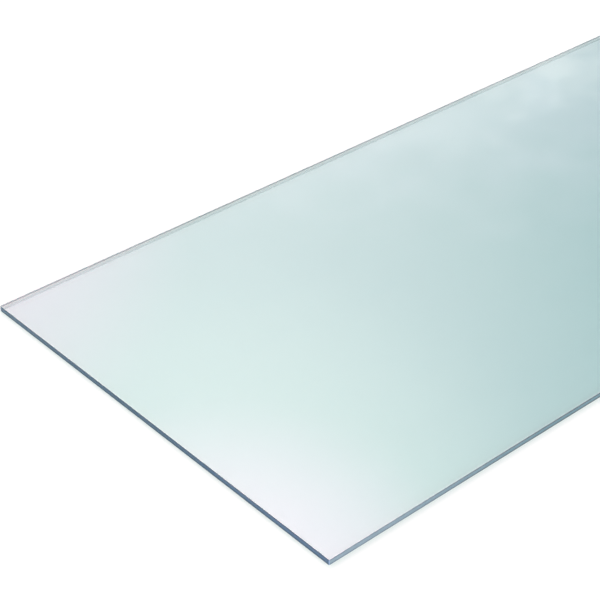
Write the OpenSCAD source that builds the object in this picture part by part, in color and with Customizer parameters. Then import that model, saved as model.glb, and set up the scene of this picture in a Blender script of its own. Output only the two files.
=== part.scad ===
// Solid clear polycarbonate sheet, cut to size and lying flat.
// X runs along the length, Y across the width, and Z up through the thickness.
// The origin is at the middle of the underside.

/* [Sheet] */
// Length of the cut sheet
sheet_length = 1000; // [200:1:3050]
// Width of the cut sheet
sheet_width = 500; // [100:1:2050]
// Thickness of the extruded sheet
sheet_thickness = 6; // [2:0.5:15]

/* [Edges] */
// Radius to which each upright corner is eased after sawing
corner_radius = 1; // [0.9:0.1:20]
// Width of the small bevel scraped along the sawn edges, top and bottom
edge_bevel = 0.4; // [0.1:0.05:0.8]

/* [Hidden] */

// Round corners are drawn as true arcs
$fn = 64;

// Centre of the easing arc at each corner, measured from the middle of the sheet
corner_x = sheet_length / 2 - corner_radius;
corner_y = sheet_width / 2 - corner_radius;

// Section of the sheet across one direction: flat faces, upright sawn edges
// and a bevel on each arris. half_span is the distance from the middle to the sawn edge.
module bevelled_section(half_span) {
    bevel_start = half_span - edge_bevel;
    upper_arris = sheet_thickness - edge_bevel;
    polygon([
        [-bevel_start, 0],
        [bevel_start, 0],
        [half_span, edge_bevel],
        [half_span, upper_arris],
        [bevel_start, sheet_thickness],
        [-bevel_start, sheet_thickness],
        [-half_span, upper_arris],
        [-half_span, edge_bevel]
    ]);
}

// The stretch of sheet between the corner arcs whose long edges are finished
module long_edge_body() {
    translate([-corner_x, 0, 0])
        rotate([90, 0, 90])
            linear_extrude(height = 2 * corner_x)
                bevelled_section(sheet_width / 2);
}

// The stretch of sheet between the corner arcs whose short ends are finished
module short_end_body() {
    translate([0, corner_y, 0])
        rotate([90, 0, 0])
            linear_extrude(height = 2 * corner_y)
                bevelled_section(sheet_length / 2);
}

// One upright corner: the same bevelled edge, turned about the centre of the arc
module eased_corner() {
    rotate_extrude()
        intersection() {
            bevelled_section(corner_radius);
            square([corner_radius, sheet_thickness]);
        }
}

module polycarbonate_sheet() {
    color([0.74, 0.88, 0.90, 0.55])
        union() {
            long_edge_body();
            short_end_body();
            for (side_x = [-1, 1], side_y = [-1, 1])
                translate([side_x * corner_x, side_y * corner_y, 0])
                    eased_corner();
        }
}

polycarbonate_sheet();
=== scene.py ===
"""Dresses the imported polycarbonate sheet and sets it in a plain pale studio."""

import logging
import math
from dataclasses import dataclass
from enum import Enum
from typing import Any, Union

import bmesh
import bpy
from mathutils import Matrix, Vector


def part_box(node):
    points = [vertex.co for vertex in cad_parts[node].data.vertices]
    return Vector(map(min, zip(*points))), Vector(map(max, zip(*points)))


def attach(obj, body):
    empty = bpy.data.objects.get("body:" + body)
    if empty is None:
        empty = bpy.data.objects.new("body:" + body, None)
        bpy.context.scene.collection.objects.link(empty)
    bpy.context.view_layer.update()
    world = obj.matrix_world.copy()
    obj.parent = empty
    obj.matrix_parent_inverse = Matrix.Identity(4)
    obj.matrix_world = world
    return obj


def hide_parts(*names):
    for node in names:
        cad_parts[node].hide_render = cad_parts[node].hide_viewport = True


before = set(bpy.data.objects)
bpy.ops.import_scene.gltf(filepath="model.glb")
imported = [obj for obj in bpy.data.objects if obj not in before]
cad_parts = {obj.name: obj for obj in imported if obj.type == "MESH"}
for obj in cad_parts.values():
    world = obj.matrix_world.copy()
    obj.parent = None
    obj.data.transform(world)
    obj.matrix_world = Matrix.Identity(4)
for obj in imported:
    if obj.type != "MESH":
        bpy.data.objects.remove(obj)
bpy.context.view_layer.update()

LOG = logging.getLogger("sheet")
MM = 0.001
SHEET_NODE = "polycarbonate_sheet"
BLACK = (0.0, 0.0, 0.0)

Colour = tuple[float, float, float]
Place = tuple[float, float, float]
Span = tuple[float, float]
Input = Union["Number", bpy.types.NodeSocket, float, tuple]


class Ray(Enum):
    """The kinds of light ray that pass straight through the clear sheet."""

    SHADOW = "Is Shadow Ray"
    DIFFUSE = "Is Diffuse Ray"


class Zone(Enum):
    """The finishes of the sheet, in the order of the mesh's material slots."""

    FACE = 0
    FRONT_EDGE = 1
    BACK_EDGE = 2
    SHORT_END = 3
    BEVEL = 4
    CORNER = 5


class Run(Enum):
    """The ways along the sheet in which an edge's colour, painted light and shade, may change."""

    LENGTH = "X"
    WIDTH = "Y"


class Finish:
    """A node tree being filled: a material's or the sky's."""

    def __init__(self, tree: bpy.types.NodeTree) -> None:
        """Empties a material's or world's tree, so that only what is added here stands in it."""
        self.tree = tree
        self.tree.nodes.clear()

    def node(
        self,
        kind: str,
        settings: dict[str, Any] | None = None,
        sockets: dict[str | int, Input] | None = None,
    ) -> bpy.types.Node:
        """Adds one node, sets it up, and then feeds its sockets.

        Args:
            kind: the type name of the node.
            settings: properties to set before any socket is touched.
            sockets: values or links, by the input's name or number.

        Returns:
            The new node.
        """
        made = self.tree.nodes.new(kind)
        for name, value in (settings or {}).items():
            setattr(made, name, value)
        for name, value in (sockets or {}).items():
            self.feed(made.inputs[name], value)
        return made

    def feed(self, socket: bpy.types.NodeSocket, value: Input) -> None:
        """Links or sets one input.

        Args:
            socket: the input to feed.
            value: a number expression, another node's output, or a plain value.
        """
        if isinstance(value, Number):
            value = value.socket
        if isinstance(value, bpy.types.NodeSocket):
            self.tree.links.new(value, socket)
        elif isinstance(value, tuple) and socket.type == "RGBA" and len(value) == 3:
            socket.default_value = (*value, 1.0)
        else:
            socket.default_value = value

    def number(self, socket: bpy.types.NodeSocket) -> "Number":
        """Wraps an output so that it can be used in an expression."""
        return Number(self, socket)

    def place(self) -> bpy.types.NodeSocket:
        """Gives the place on the piece, in metres from its origin."""
        return self.node("ShaderNodeTexCoord").outputs["Object"]

    def coordinate(self, where: bpy.types.NodeSocket, axis: str) -> "Number":
        """Takes one of a place's three coordinates."""
        return self.number(self.node("ShaderNodeSeparateXYZ", {}, {0: where}).outputs[axis])

    def stretched(self, where: bpy.types.NodeSocket, scale: Place) -> bpy.types.NodeSocket:
        """Scales a place by a different amount along each axis."""
        return self.node("ShaderNodeMapping", {}, {"Vector": where, "Scale": scale}).outputs[0]

    def noise(self, where: bpy.types.NodeSocket, per_m: float, detail: float) -> "Number":
        """Draws a soft random pattern, mostly from 0.3 to 0.7, with per_m spots to a unit."""
        sockets = {"Vector": where, "Scale": per_m, "Detail": detail, "Roughness": 0.5}
        return self.number(self.node("ShaderNodeTexNoise", {}, sockets).outputs["Fac"])

    def bumped(self, height: Input, depth_m: float) -> bpy.types.NodeSocket:
        """Turns a height pattern into a surface normal."""
        sockets = {"Height": height, "Strength": 1.0, "Distance": depth_m}
        return self.node("ShaderNodeBump", {}, sockets).outputs[0]

    def mixed_colour(self, share: Input, first: Input, second: Input) -> bpy.types.NodeSocket:
        """Blends two colours, the second at a share of 1."""
        mix = self.node("ShaderNodeMix", {"data_type": "RGBA"}, {0: share, 6: first, 7: second})
        return mix.outputs[2]

    def added_colour(self, first: Input, second: Input) -> bpy.types.NodeSocket:
        """Adds two colours, neither of them clipped."""
        settings = {"data_type": "RGBA", "blend_type": "ADD"}
        return self.node("ShaderNodeMix", settings, {0: 1.0, 6: first, 7: second}).outputs[2]

    def plastic(self, sockets: dict[str | int, Input]) -> bpy.types.NodeSocket:
        """Makes one plastic surface."""
        return self.node("ShaderNodeBsdfPrincipled", {}, sockets).outputs[0]

    def mixed_surface(self, share: Input, first: Input, second: Input) -> bpy.types.NodeSocket:
        """Blends two surfaces, the second at a share of 1."""
        return self.node("ShaderNodeMixShader", {}, {0: share, 1: first, 2: second}).outputs[0]

    def let_light_pass(self, surface: bpy.types.NodeSocket) -> bpy.types.NodeSocket:
        """Lets lamplight and the floor's own light straight through a clear surface.

        Args:
            surface: the surface as it is seen.

        Returns:
            The surface to give the material.
        """
        path = self.node("ShaderNodeLightPath")
        straight = self.node("ShaderNodeBsdfTransparent").outputs[0]
        for ray in Ray:
            surface = self.mixed_surface(path.outputs[ray.value], surface, straight)
        return surface


class Number:
    """A number that changes over a surface, for use in ordinary sums."""

    def __init__(self, finish: Finish, socket: bpy.types.NodeSocket) -> None:
        """Keeps the tree that the number lives in and the output that carries it."""
        self.finish = finish
        self.socket = socket

    def _maths(self, operation: str, *values: Input) -> "Number":
        """Adds one Math node.

        Args:
            operation: the Math node's operation.
            values: what it works on, in order.

        Returns:
            Its result.
        """
        sockets = dict(enumerate(values))
        node = self.finish.node("ShaderNodeMath", {"operation": operation}, sockets)
        return Number(self.finish, node.outputs[0])

    def __add__(self, other: Input) -> "Number":
        """Sum."""
        return self._maths("ADD", self, other)

    __radd__ = __add__

    def __sub__(self, other: Input) -> "Number":
        """Difference."""
        return self._maths("SUBTRACT", self, other)

    def __rsub__(self, other: Input) -> "Number":
        """Difference from a plain number."""
        return self._maths("SUBTRACT", other, self)

    def __mul__(self, other: Input) -> "Number":
        """Product."""
        return self._maths("MULTIPLY", self, other)

    __rmul__ = __mul__

    def eased(self, at_zero: float, at_one: float) -> "Number":
        """Goes smoothly from 0 to 1 between two values, and stays there.

        Args:
            at_zero: the value at which the result is 0.
            at_one: the value at which it is 1, above or below the other.

        Returns:
            The eased number.
        """
        node = self.finish.node(
            "ShaderNodeMapRange",
            {"interpolation_type": "SMOOTHSTEP"},
            {"Value": self, "From Min": at_zero, "From Max": at_one},
        )
        return Number(self.finish, node.outputs["Result"])


def new_material(name: str) -> tuple[bpy.types.Material, Finish]:
    """Makes an empty material.

    Args:
        name: what the finish is called.

    Returns:
        The material, and its node tree ready to be filled.
    """
    made = bpy.data.materials.new(name)
    made.use_nodes = True
    return made, Finish(made.node_tree)


@dataclass(frozen=True)
class ClearBody:
    """Clear polycarbonate: bends light, and deepens to a blue green through its length.

    Fields in metres with two values say where something begins and where it is whole.
    """

    ior: float = 1.585
    clean_roughness: float = 0.02
    wiped_roughness: float = 0.05
    clean_colour: Colour = (1.0, 1.0, 1.0)
    wiped_colour: Colour = (0.985, 0.992, 0.995)
    wiped_span: Span = (0.45, 0.75)
    wipes_per_m: float = 30.0
    wipes_stretch: Place = (0.15, 1.0, 1.0)
    waves_per_m: float = 7.0
    waves_stretch: Place = (0.55, 1.0, 1.0)
    wave_height_m: float = 0.10 * MM
    tint: Colour = (0.083, 0.500, 0.512)
    tint_density: float = 70.0
    # Painted shadow: a darker, duller blue-green band on the underside along the back edge stands
    # in for the far arris's shadow, and is greener toward the left end.
    shadow_band_colour: Colour = (0.03, 0.44, 0.45)
    shadow_band_left_colour: Colour = (0.0, 0.60, 0.58)
    shadow_band_left_m: Span = (-200.0 * MM, -500.0 * MM)
    shadow_band_roughness: float = 0.5
    shadow_band_gloss: float = 0.1
    shadow_band_share: float = 0.36
    shadow_band_outer_m: Span = (2.8 * MM, 3.7 * MM)
    shadow_band_inner_m: Span = (6.2 * MM, 5.1 * MM)
    half_width_m: float = 250.0 * MM
    half_height_m: float = 3.0 * MM

    def volume(self, finish: Finish) -> bpy.types.NodeSocket:
        """Makes the light that travels inside the sheet fade to its own colour."""
        sockets = {"Color": self.tint, "Density": self.tint_density}
        return finish.node("ShaderNodeVolumeAbsorption", {}, sockets).outputs[0]

    def close(self, finish: Finish, surface: bpy.types.NodeSocket) -> None:
        """Puts a surface round the clear body and ends the material."""
        sockets = {"Surface": finish.let_light_pass(surface), "Volume": self.volume(finish)}
        finish.node("ShaderNodeOutputMaterial", {}, sockets)

    def painted_shadow_band(self, finish: Finish, where: bpy.types.NodeSocket) -> Number:
        """Measures the painted shadow band on the underside along the back edge.

        Args:
            finish: the material's tree.
            where: the place on the sheet.

        Returns:
            1 along the middle of the painted shadow band and 0 outside it.
        """
        underside = finish.coordinate(where, "Z").eased(self.half_height_m, 0.0)
        inset = self.half_width_m - finish.coordinate(where, "Y")
        return underside * inset.eased(*self.shadow_band_outer_m) * inset.eased(*self.shadow_band_inner_m)

    def clean_face(self, finish: Finish, where: bpy.types.NodeSocket) -> bpy.types.NodeSocket:
        """Makes the clear face, faintly wavy from the extruder and wiped along its length.

        Args:
            finish: the material's tree.
            where: the place on the sheet.

        Returns:
            The surface.
        """
        waves = finish.noise(finish.stretched(where, self.waves_stretch), self.waves_per_m, 2.0)
        wipes = finish.noise(finish.stretched(where, self.wipes_stretch), self.wipes_per_m, 4.0)
        wiped = wipes.eased(*self.wiped_span)
        roughening = self.wiped_roughness - self.clean_roughness
        return finish.plastic(
            {
                "Base Color": finish.mixed_colour(wiped, self.clean_colour, self.wiped_colour),
                "Roughness": wiped * roughening + self.clean_roughness,
                "IOR": self.ior,
                "Transmission Weight": 1.0,
                "Normal": finish.bumped(waves, self.wave_height_m),
            }
        )

    def shadow_band_face(self, finish: Finish, where: bpy.types.NodeSocket) -> bpy.types.NodeSocket:
        """Makes the dull, darker face of the painted shadow band.

        Args:
            finish: the material's tree.
            where: the place on the sheet.

        Returns:
            The surface.
        """
        left = finish.coordinate(where, "X").eased(*self.shadow_band_left_m)
        return finish.plastic(
            {
                "Base Color": finish.mixed_colour(
                    left, self.shadow_band_colour, self.shadow_band_left_colour
                ),
                "Roughness": self.shadow_band_roughness,
                "Specular IOR Level": self.shadow_band_gloss,
            }
        )

    def material(self) -> bpy.types.Material:
        """Makes the finish of the broad faces.

        Returns:
            The material.
        """
        made, finish = new_material("clear polycarbonate")
        where = finish.place()
        # Mixes in the painted shadow band along the back edge.
        share = self.painted_shadow_band(finish, where) * self.shadow_band_share
        face = finish.mixed_surface(
            share, self.clean_face(finish, where), self.shadow_band_face(finish, where)
        )
        self.close(finish, face)
        return made


@dataclass(frozen=True)
class SawnEdge:
    """An upright sawn face: part clear in the middle, dull and dark toward both arrises.

    The bands are parts of half the thickness. The second pair of colours, painted light and shade
    along the edge, is reached at the end point of the change along the edge. Each side's own
    colours are painted light and shade as well.
    """

    name: str
    body: ClearBody
    middle_colour: Colour
    arris_colour: Colour
    shaded_colour: Colour
    shaded_arris: Colour
    shade_strength: float = 1.0
    shade_along: Run = Run.LENGTH
    shade_begins_m: float = -500.0 * MM
    shade_ends_m: float = -200.0 * MM
    clearness: float = 0.50
    lower_band: float = 0.45
    upper_band: float = 0.45
    band_softness: float = 0.15
    raggedness: float = 0.3
    roughness: float = 0.15
    arris_roughness: float = 0.45
    arris_gloss: float = 0.5
    half_height_m: float = 3.0 * MM
    marks_per_m: float = 900.0
    mark_height_m: float = 0.012 * MM

    def dull_share(self, height: Number) -> Number:
        """Measures how dull the edge is at a height.

        Args:
            height: the height, -1 at the lower arris and 1 at the upper one.

        Returns:
            1 in the dull bands along the arrises and 0 between them.
        """
        upper = 1.0 - self.upper_band
        lower = self.lower_band - 1.0
        soft = self.band_softness
        above = height.eased(upper - soft, upper + soft)
        below = height.eased(lower + soft, lower - soft)
        return above + below

    def material(self) -> bpy.types.Material:
        """Makes the finish of an upright sawn face.

        Returns:
            The material.
        """
        made, finish = new_material(self.name)
        where = finish.place()
        grain = finish.noise(where, self.marks_per_m, 3.0)
        normal = finish.bumped(grain, self.mark_height_m)
        height = finish.coordinate(where, "Z") * (1.0 / self.half_height_m) - 1.0
        dull_share = self.dull_share(height + (grain - 0.5) * self.raggedness)
        # Painted light and shade: the edge's colours change along it, from the lit colours toward
        # the shaded ones.
        run = finish.coordinate(where, self.shade_along.value)
        shaded = run.eased(self.shade_begins_m, self.shade_ends_m) * self.shade_strength
        middle = finish.plastic(
            {
                "Base Color": finish.mixed_colour(shaded, self.middle_colour, self.shaded_colour),
                "Roughness": self.roughness,
                "IOR": self.body.ior,
                "Transmission Weight": self.clearness,
                "Normal": normal,
            }
        )
        dull = finish.plastic(
            {
                "Base Color": finish.mixed_colour(shaded, self.arris_colour, self.shaded_arris),
                "Roughness": self.arris_roughness,
                "IOR": self.body.ior,
                "Specular IOR Level": self.arris_gloss,
                "Normal": normal,
            }
        )
        self.body.close(finish, finish.mixed_surface(dull_share, middle, dull))
        return made


@dataclass(frozen=True)
class ScrapedArris:
    """A scraped bevel or eased corner: frosted, and paler than the sawn faces; the pale colours
    are partly painted highlight.
    """

    name: str
    body: ClearBody
    colour: Colour
    worn_colour: Colour
    worn_span: Span = (0.3, 0.7)
    roughness: float = 0.45
    clearness: float = 0.20
    marks_per_m: float = 1500.0
    mark_height_m: float = 0.01 * MM

    def material(self) -> bpy.types.Material:
        """Makes the finish of the bevels or of the eased corners.

        Returns:
            The material.
        """
        made, finish = new_material(self.name)
        grain = finish.noise(finish.place(), self.marks_per_m, 2.0)
        worn = grain.eased(*self.worn_span)
        arris = finish.plastic(
            {
                "Base Color": finish.mixed_colour(worn, self.colour, self.worn_colour),
                "Roughness": self.roughness,
                "IOR": self.body.ior,
                "Transmission Weight": self.clearness,
                "Normal": finish.bumped(grain, self.mark_height_m),
            }
        )
        self.body.close(finish, arris)
        return made


@dataclass
class PolycarbonateSheet:
    """The one piece of stock: broad faces, sawn edges, bevels and eased corners."""

    low: Vector
    high: Vector
    corner_radius: float = 1.0 * MM
    least_radius: float = 0.05 * MM
    edge_bevel: float = 0.4 * MM
    lower_bevel: float = 0.06 * MM
    corner_steps: int = 6
    crease_deg: float = 25.0

    def outline(self, inset: float) -> list[tuple[float, float]]:
        """Walks round the plan once, anticlockwise.

        Args:
            inset: how far inside the sawn edge the walk runs.

        Returns:
            Points of X and Y.
        """
        radius = max(self.corner_radius - inset, self.least_radius)
        back = max(self.corner_radius, inset + radius)
        centres = (
            (self.high.x - back, self.high.y - back),
            (self.low.x + back, self.high.y - back),
            (self.low.x + back, self.low.y + back),
            (self.high.x - back, self.low.y + back),
        )
        points = []
        for quarter, (x, y) in enumerate(centres):
            for step in range(self.corner_steps + 1):
                angle = math.pi / 2 * (quarter + step / self.corner_steps)
                points.append((x + radius * math.cos(angle), y + radius * math.sin(angle)))
        return points

    def levels(self) -> tuple[tuple[float, float], ...]:
        """Lists the rings of the edge, from the underside up.

        Returns:
            Each ring's inset and height. The top bevel takes the scraped finish, pale partly from
            frosting and partly from painted highlight, in its upper half.
        """
        half_bevel = self.edge_bevel / 2
        return (
            (self.lower_bevel, self.low.z),
            (0.0, self.low.z + self.lower_bevel),
            (0.0, self.high.z - self.edge_bevel),
            (half_bevel, self.high.z - half_bevel),
            (self.edge_bevel, self.high.z),
        )

    def zone(self, band: int, step: int, quarter: int) -> Zone:
        """Tells which finish a strip of the sheet's edge has.

        Args:
            band: the strip's place, from the lower arris up to the top bevel.
            step: its place in its corner; the last one is the straight face after it.
            quarter: the corner, counted anticlockwise from the far right one.

        Returns:
            The finish.
        """
        if band == len(self.levels()) - 2:
            return Zone.BEVEL
        straight = (Zone.BACK_EDGE, Zone.SHORT_END, Zone.FRONT_EDGE, Zone.SHORT_END)
        if step == 0:
            return straight[quarter - 1]
        if step >= self.corner_steps - 1:
            return straight[quarter]
        # The middle steps of each corner take the light blue finish, a painted highlight that
        # shows on the front corner.
        return Zone.CORNER

    def mesh(self) -> bpy.types.Mesh:
        """Builds the closed skin of the sheet.

        Returns:
            The mesh, with its broad faces and its edges in separate material slots.
        """
        made = bmesh.new()
        rings = [
            [made.verts.new((x, y, height)) for x, y in self.outline(inset)]
            for inset, height in self.levels()
        ]
        per_corner = self.corner_steps + 1
        for band, (lower, upper) in enumerate(zip(rings, rings[1:])):
            for a in range(len(lower)):
                b = (a + 1) % len(lower)
                side = made.faces.new((lower[a], lower[b], upper[b], upper[a]))
                side.material_index = self.zone(band, a % per_corner, a // per_corner).value
        under = made.faces.new(list(reversed(rings[0])))
        top = made.faces.new(rings[-1])
        for face in (under, top):
            face.material_index = Zone.FACE.value
        mesh = bpy.data.meshes.new("sheet")
        made.to_mesh(mesh)
        made.free()
        mesh.shade_smooth()
        mesh.set_sharp_from_angle(angle=math.radians(self.crease_deg))
        return mesh

    def finishes(self) -> dict[Zone, bpy.types.Material]:
        """Makes the finishes of the sheet, each from the same clear body.

        Returns:
            The material of each zone.
        """
        body = ClearBody()
        # Painted light and shade: the front edge takes light blue, lit colours, paler than the
        # short ends', and turns darker going right from the left end.
        front_edge = SawnEdge(
            name="sawn front edge",
            body=body,
            middle_colour=(0.55, 0.72, 0.87),
            arris_colour=(0.14, 0.196, 0.267),
            shaded_colour=(0.116, 0.37, 0.45),
            shaded_arris=BLACK,
            shade_strength=0.6,
        )
        # Painted light: the back edge takes near-white, nearly clear colours, a lit copy of the
        # same sawn face, with greenish arrises that shift a little toward the left end.
        back_edge = SawnEdge(
            name="sawn back edge",
            body=body,
            middle_colour=(0.88, 1.0, 1.0),
            arris_colour=(0.07, 0.34, 0.365),
            shaded_colour=(0.88, 1.0, 1.0),
            shaded_arris=(0.10, 0.31, 0.345),
            clearness=0.95,
            lower_band=-0.3,
            upper_band=1.7,
            arris_gloss=0.15,
        )
        # Painted shade: the short ends take dark blue colours, a shaded copy of the same sawn
        # face, darker still toward the back.
        short_end = SawnEdge(
            name="sawn short end",
            body=body,
            middle_colour=(0.145, 0.285, 0.515),
            arris_colour=(0.0, 0.046, 0.12),
            shaded_colour=(0.050, 0.180, 0.345),
            shaded_arris=(0.0, 0.046, 0.09),
            shade_along=Run.WIDTH,
            shade_begins_m=-250.0 * MM,
            shade_ends_m=50.0 * MM,
        )
        # Partly painted highlight: the bevel's near-white is partly the pale of a frosted scraping
        # and partly a painted highlight along the top arris.
        bevel = ScrapedArris(
            name="scraped bevel",
            body=body,
            colour=(0.97, 0.99, 1.0),
            worn_colour=(0.90, 0.95, 0.98),
        )
        # Painted highlight: the eased corners' light blue stands in for the glint on the front
        # corner.
        corner = ScrapedArris(
            name="eased corner",
            body=body,
            colour=(0.34, 0.47, 0.70),
            worn_colour=(0.28, 0.40, 0.62),
        )
        return {
            Zone.FACE: body.material(),
            Zone.FRONT_EDGE: front_edge.material(),
            Zone.BACK_EDGE: back_edge.material(),
            Zone.SHORT_END: short_end.material(),
            Zone.BEVEL: bevel.material(),
            Zone.CORNER: corner.material(),
        }

    def build(self) -> bpy.types.Object:
        """Makes the piece, dresses it and seats it on the frame.

        Returns:
            The piece.
        """
        piece = bpy.data.objects.new("sheet_of_polycarbonate", self.mesh())
        bpy.context.scene.collection.objects.link(piece)
        finishes = self.finishes()
        for zone in Zone:
            piece.data.materials.append(finishes[zone])
        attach(piece, "root")
        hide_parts(SHEET_NODE)
        LOG.info("%s: %d faces", piece.name, len(piece.data.polygons))
        return piece


@dataclass(frozen=True)
class PhotoCamera:
    """The camera where the photograph was taken, from its vanishing points."""

    place: Place = (-1.2418, -1.0527, 1.0338)
    heading_deg: float = 41.4486
    down_deg: float = 34.8153
    lens_mm: float = 105.32
    sensor_mm: float = 36.0
    near_m: float = 0.01
    far_m: float = 100.0

    def build(self) -> bpy.types.Object:
        """Makes the scene's camera.

        Returns:
            The camera.
        """
        data = bpy.data.cameras.new("photo camera")
        data.sensor_width = self.sensor_mm
        data.lens = self.lens_mm
        data.clip_start = self.near_m
        data.clip_end = self.far_m
        camera = bpy.data.objects.new("photo camera", data)
        camera.location = self.place
        tilt = math.radians(90 - self.down_deg)
        turn = math.radians(-self.heading_deg)
        camera.rotation_euler = (tilt, 0.0, turn)
        bpy.context.scene.collection.objects.link(camera)
        bpy.context.scene.camera = camera
        LOG.info("camera at %s", tuple(camera.location))
        return camera


@dataclass(frozen=True)
class PaperFloor:
    """The level white paper that the sheet lies on."""

    half_width: float = 15.0
    gap: float = 0.03 * MM
    colour: Colour = (0.882, 0.922, 0.917)
    fleck_colour: Colour = (0.876, 0.916, 0.911)
    flecks_per_m: float = 400.0

    def build(self) -> bpy.types.Object:
        """Makes the floor.

        Returns:
            The floor.
        """
        made = bmesh.new()
        bmesh.ops.create_grid(made, x_segments=1, y_segments=1, size=self.half_width)
        mesh = bpy.data.meshes.new("paper floor")
        made.to_mesh(mesh)
        made.free()
        floor = bpy.data.objects.new("paper_floor", mesh)
        floor.location.z = -self.gap
        bpy.context.scene.collection.objects.link(floor)
        floor.data.materials.append(self.material())
        LOG.info("floor %.0f m wide", 2 * self.half_width)
        return floor

    def material(self) -> bpy.types.Material:
        """Makes matt white paper.

        Returns:
            The material.
        """
        made, finish = new_material("white paper")
        flecks = finish.noise(finish.place(), self.flecks_per_m, 2.0)
        colour = finish.mixed_colour(flecks, self.colour, self.fleck_colour)
        paper = finish.node("ShaderNodeBsdfDiffuse", {}, {"Color": colour})
        finish.node("ShaderNodeOutputMaterial", {}, {"Surface": paper.outputs[0]})
        return made


def toward(azimuth_deg: float, elevation_deg: float) -> Vector:
    """Gives a direction in the sky, as seen by someone who stands at the camera.

    Args:
        azimuth_deg: degrees to the right of where the camera looks.
        elevation_deg: degrees above the floor.

    Returns:
        The unit vector towards it.
    """
    heading = math.radians(PhotoCamera.heading_deg + azimuth_deg)
    height = math.radians(elevation_deg)
    level = math.cos(height)
    return Vector((math.sin(heading) * level, math.cos(heading) * level, math.sin(height)))


def along(finish: Finish, direction: bpy.types.NodeSocket, axis: Vector) -> Number:
    """Measures how far a direction runs along an axis.

    Args:
        finish: the world's tree.
        direction: the direction looked at.
        axis: a unit vector.

    Returns:
        The cosine of the angle between them.
    """
    sockets = {0: direction, 1: tuple(axis)}
    dot = finish.node("ShaderNodeVectorMath", {"operation": "DOT_PRODUCT"}, sockets)
    return finish.number(dot.outputs["Value"])


@dataclass(frozen=True)
class SoftPatch:
    """A round patch of the studio that fades out softly."""

    azimuth_deg: float
    elevation_deg: float
    whole_within_deg: float
    gone_beyond_deg: float
    colour: Colour

    def share(self, finish: Finish, direction: bpy.types.NodeSocket) -> Number:
        """Measures how much of the patch shows in a direction.

        Args:
            finish: the world's tree.
            direction: the direction looked at.

        Returns:
            1 in the middle of the patch and 0 outside it.
        """
        centre = toward(self.azimuth_deg, self.elevation_deg)
        outer = math.cos(math.radians(self.gone_beyond_deg))
        inner = math.cos(math.radians(self.whole_within_deg))
        return along(finish, direction, centre).eased(outer, inner)


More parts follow.
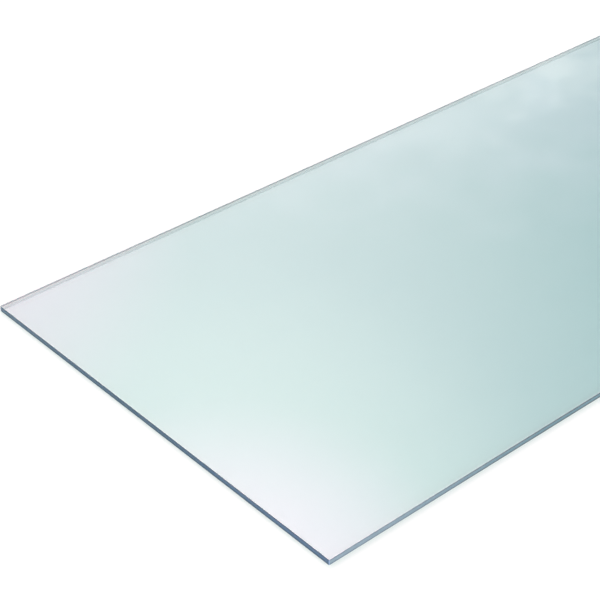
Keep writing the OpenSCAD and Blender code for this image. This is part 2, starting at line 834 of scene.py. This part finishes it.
@dataclass(frozen=True)
class StudioSky:
    """The studio round the sheet: a pale dome and walls, a hung cloth, a screen and soft lamps."""

    dome: Colour = (1.00, 1.06, 1.03)
    wall: Colour = (0.88, 0.90, 0.92)
    wall_top_deg: float = 33.5
    wall_full_deg: float = 27.8
    fold_depth: float = 0.075
    folds_per_unit: float = 34.0
    fold_detail: float = 3.0
    fold_stretch: Place = (1.0, 1.0, 2.6)
    cloth: SoftPatch = SoftPatch(2.0, 27.0, 14.0, 32.0, (1.06, 0.77, 0.905))
    screen: SoftPatch = SoftPatch(12.0, 36.0, 24.0, 50.0, (0.18, 0.20, 0.21))
    lamps: tuple[SoftPatch, ...] = (
        SoftPatch(-16.1, 40.0, 0.0, 28.6, (2.95, 2.11, 2.05)),
        SoftPatch(-3.3, 45.0, 0.0, 12.6, (1.08, 0.98, 0.73)),
        SoftPatch(-3.4, 47.0, 0.0, 9.5, (3.00, 0.87, 1.76)),
        SoftPatch(-16.6, 30.2, 0.0, 11.4, (1.54, 0.21, 0.69)),
        SoftPatch(8.8, 27.75, 0.0, 0.85, (0.33, 0.28, 0.29)),
        SoftPatch(138.0, 45.0, 5.0, 38.0, (1.1, 1.0, 1.05)),
    )
    wall_lights: tuple[SoftPatch, ...] = (
        SoftPatch(8.5, 25.6, 0.0, 3.0, (1.09, 0.88, 0.79)),
        SoftPatch(5.3, 27.3, 0.0, 3.4, (0.24, 0.23, 0.18)),
    )

    def through_folds(
        self, finish: Finish, direction: bpy.types.NodeSocket
    ) -> bpy.types.NodeSocket:
        """Disturbs a direction, as the folds of a hung cloth would.

        Args:
            finish: the world's tree.
            direction: the direction looked at.

        Returns:
            The direction, a little off its true course.
        """
        folds = finish.node(
            "ShaderNodeTexNoise",
            {},
            {
                "Vector": finish.stretched(direction, self.fold_stretch),
                "Scale": self.folds_per_unit,
                "Detail": self.fold_detail,
            },
        )
        depth = (self.fold_depth,) * 3
        centred = (-self.fold_depth / 2,) * 3
        turn = finish.node(
            "ShaderNodeVectorMath",
            {"operation": "MULTIPLY_ADD"},
            {0: folds.outputs["Color"], 1: depth, 2: centred},
        )
        turned = finish.node(
            "ShaderNodeVectorMath", {"operation": "ADD"}, {0: direction, 1: turn.outputs[0]}
        )
        return finish.node(
            "ShaderNodeVectorMath", {"operation": "NORMALIZE"}, {0: turned.outputs[0]}
        ).outputs[0]

    def backdrop(
        self, finish: Finish, direction: bpy.types.NodeSocket, folded: bpy.types.NodeSocket
    ) -> bpy.types.NodeSocket:
        """Paints the dome with its screen, and the wall with its cloth below it.

        Args:
            finish: the world's tree.
            direction: the direction looked at.
            folded: the same direction through the folds, which ruffle the wall's top.

        Returns:
            The colour before any light is added.
        """
        height = along(finish, folded, Vector((0, 0, 1)))
        wall_top = math.sin(math.radians(self.wall_top_deg))
        wall_full = math.sin(math.radians(self.wall_full_deg))
        screen = self.screen.share(finish, direction)
        above = finish.mixed_colour(screen, self.dome, self.screen.colour)
        cloth = self.cloth.share(finish, direction)
        below = finish.mixed_colour(cloth, self.wall, self.cloth.colour)
        return finish.mixed_colour(height.eased(wall_top, wall_full), above, below)

    def build(self) -> bpy.types.World:
        """Makes the world.

        Returns:
            The world.
        """
        world = bpy.data.worlds.new("studio")
        bpy.context.scene.world = world
        world.use_nodes = True
        finish = Finish(world.node_tree)
        direction = finish.node("ShaderNodeTexCoord").outputs["Generated"]
        folded = self.through_folds(finish, direction)
        sky = self.backdrop(finish, direction, folded)
        lit = [(lamp, direction) for lamp in self.lamps]
        lit += [(light, folded) for light in self.wall_lights]
        for patch, course in lit:
            glow = finish.mixed_colour(patch.share(finish, course), BLACK, patch.colour)
            sky = finish.added_colour(sky, glow)
        light = finish.node("ShaderNodeBackground", {}, {"Color": sky, "Strength": 1.0})
        finish.node("ShaderNodeOutputWorld", {}, {"Surface": light.outputs[0]})
        LOG.info("studio sky with %d soft patches of light", len(lit))
        return world


def main() -> None:
    """Builds the camera, the studio and the sheet, in that order."""
    logging.basicConfig(level=logging.INFO, format="%(name)s: %(message)s")
    PhotoCamera().build()
    StudioSky().build()
    PaperFloor().build()
    low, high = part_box(SHEET_NODE)
    PolycarbonateSheet(Vector(low), Vector(high)).build()
    bpy.context.scene.view_settings.view_transform = "Standard"


if __name__ == "__main__":
    main()
